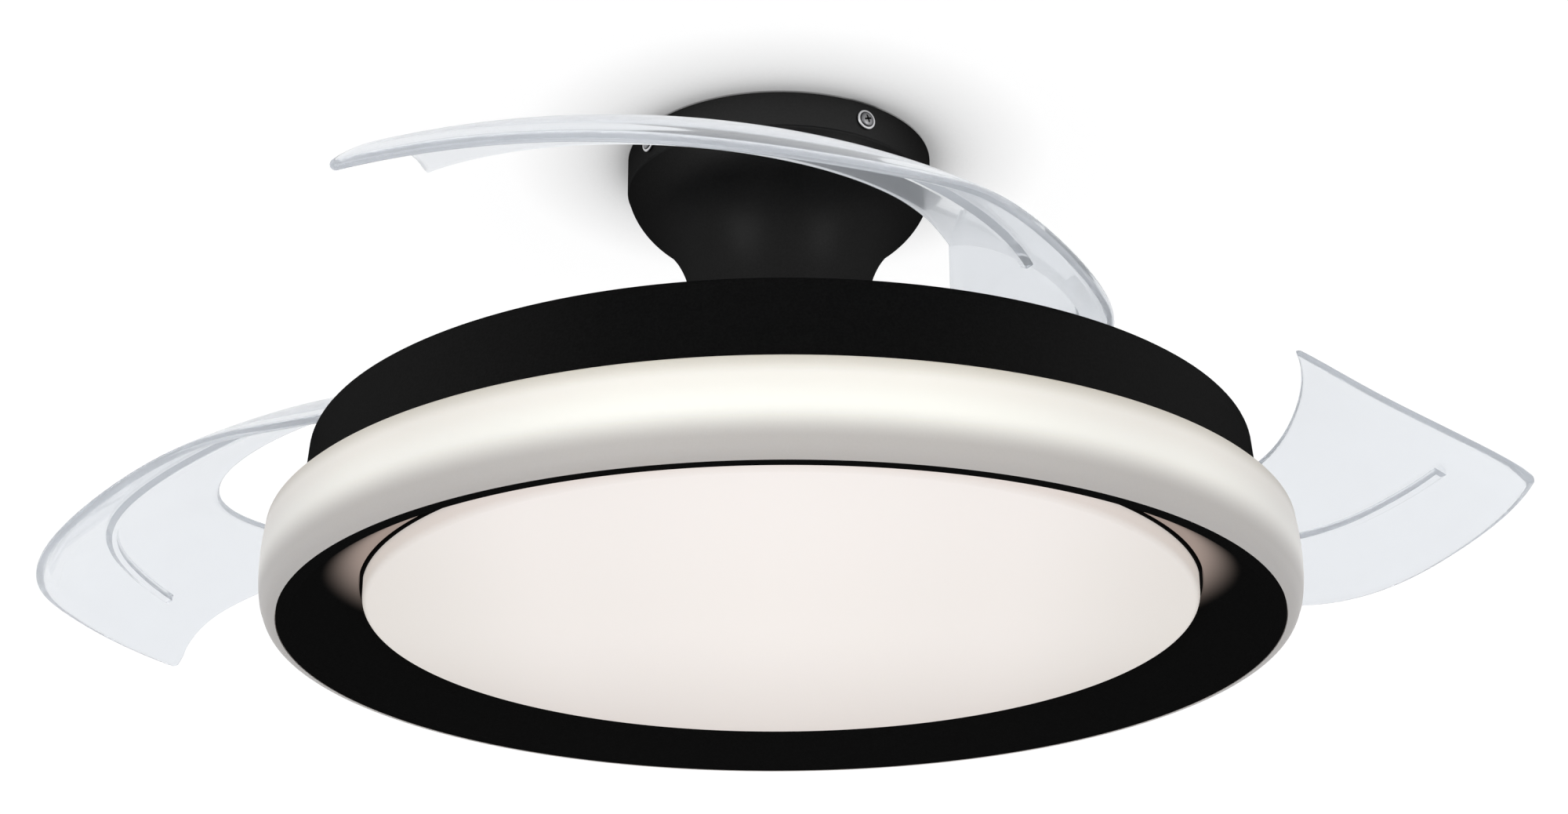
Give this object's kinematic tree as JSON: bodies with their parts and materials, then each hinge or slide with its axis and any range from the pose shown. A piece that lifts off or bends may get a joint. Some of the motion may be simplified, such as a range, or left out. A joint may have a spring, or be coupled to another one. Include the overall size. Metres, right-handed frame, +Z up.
{
  "type": "retractable blade ceiling fan",
  "caption": "Ceiling fan with a round lamp; clear curved blades on pivots above the lamp swing out from it as the motor turns them.",
  "frame": {"origin": "centre of the ceiling face of the bracket; the fan hangs below it", "axes": "+Z up into the ceiling along the motor axis, -Y towards the front view, +X to its right"},
  "size_m": [0.7745, 0.6652, 0.26],
  "materials": {
    "black_paint": "satin",
    "clear_plastic": "clear polished",
    "opal_plastic": "opal satin",
    "white_plastic": "matt",
    "light_board": "satin",
    "magnet": "matt",
    "copper_wire": "enamelled",
    "bronze": "sintered",
    "rubber": "matt",
    "bright_screw": "plated",
    "aluminium_plate": "milled",
    "zinc_steel": "zinc plated"
  },
  "bodies": {
    "mount_and_lamp": {"ceiling_bracket": "zinc_steel", "canopy_cover": "black_paint", "canopy_screw_1": "bright_screw", "canopy_screw_2": "bright_screw", "canopy_screw_3": "bright_screw", "canopy_screw_4": "bright_screw", "hanger_flange": "zinc_steel", "flange_bolt_1": "zinc_steel", "flange_bolt_2": "zinc_steel", "flange_bolt_3": "zinc_steel", "receiver_box": "white_plastic", "fixed_shaft": "zinc_steel", "shaft_lock_pin": "zinc_steel", "stator_core": "zinc_steel", "stator_winding": "copper_wire", "bearing_upper": "zinc_steel", "bearing_lower": "zinc_steel", "lamp_housing": "black_paint", "shaft_lock_nut": "zinc_steel", "lamp_chassis": "aluminium_plate", "chassis_screw_1": "zinc_steel", "chassis_screw_2": "zinc_steel", "chassis_screw_3": "zinc_steel", "light_driver": "white_plastic", "main_light_board": "light_board", "ring_light_board": "light_board", "ring_diffuser": "opal_plastic", "funnel_ring": "black_paint", "disc_cover": "opal_plastic", "disc_bezel": "black_paint"},
    "rotor": {"motor_cover_upper": "black_paint", "motor_cover_lower": "black_paint", "magnet_ring": "magnet", "blade_carrier": "aluminium_plate", "carrier_screw_1": "zinc_steel", "carrier_screw_2": "zinc_steel", "carrier_screw_3": "zinc_steel", "pivot_pin_a": "zinc_steel", "pivot_cap_a": "zinc_steel", "closed_stop_a": "rubber", "open_stop_a": "rubber", "pivot_pin_b": "zinc_steel", "pivot_cap_b": "zinc_steel", "closed_stop_b": "rubber", "open_stop_b": "rubber", "pivot_pin_c": "zinc_steel", "pivot_cap_c": "zinc_steel", "closed_stop_c": "rubber", "open_stop_c": "rubber"},
    "blade_arm_a": {"blade_a": "clear_plastic", "pivot_bush_a": "bronze", "return_spring_a": "zinc_steel"},
    "blade_arm_b": {"blade_b": "clear_plastic", "pivot_bush_b": "bronze", "return_spring_b": "zinc_steel"},
    "blade_arm_c": {"blade_c": "clear_plastic", "pivot_bush_c": "bronze", "return_spring_c": "zinc_steel"}
  },
  "joints": [
    {"name": "rotor_spin", "type": "hinge", "parent": "mount_and_lamp", "child": "rotor", "pos_m": [0, 0, -0.137], "axis": [0, 0, 1], "continuous": true},
    {"name": "blade_a_swing", "type": "hinge", "parent": "rotor", "child": "blade_arm_a", "pos_m": [0.12528, -0.13816, -0.158], "axis": [0, 0, 1], "range_deg": [-42.6, 61.4], "stiffness_Nm_per_rad": 0.04, "springref_deg": -42.6},
    {"name": "blade_b_swing", "type": "hinge", "parent": "rotor", "child": "blade_arm_b", "pos_m": [-0.18229, -0.03941, -0.158], "axis": [0, 0, 1], "range_deg": [-64.9, 39.1], "stiffness_Nm_per_rad": 0.04, "springref_deg": -64.9},
    {"name": "blade_c_swing", "type": "hinge", "parent": "rotor", "child": "blade_arm_c", "pos_m": [0.05701, 0.17757, -0.158], "axis": [0, 0, 1], "range_deg": [-35.1, 68.9], "stiffness_Nm_per_rad": 0.04, "springref_deg": -35.1}
  ]
}
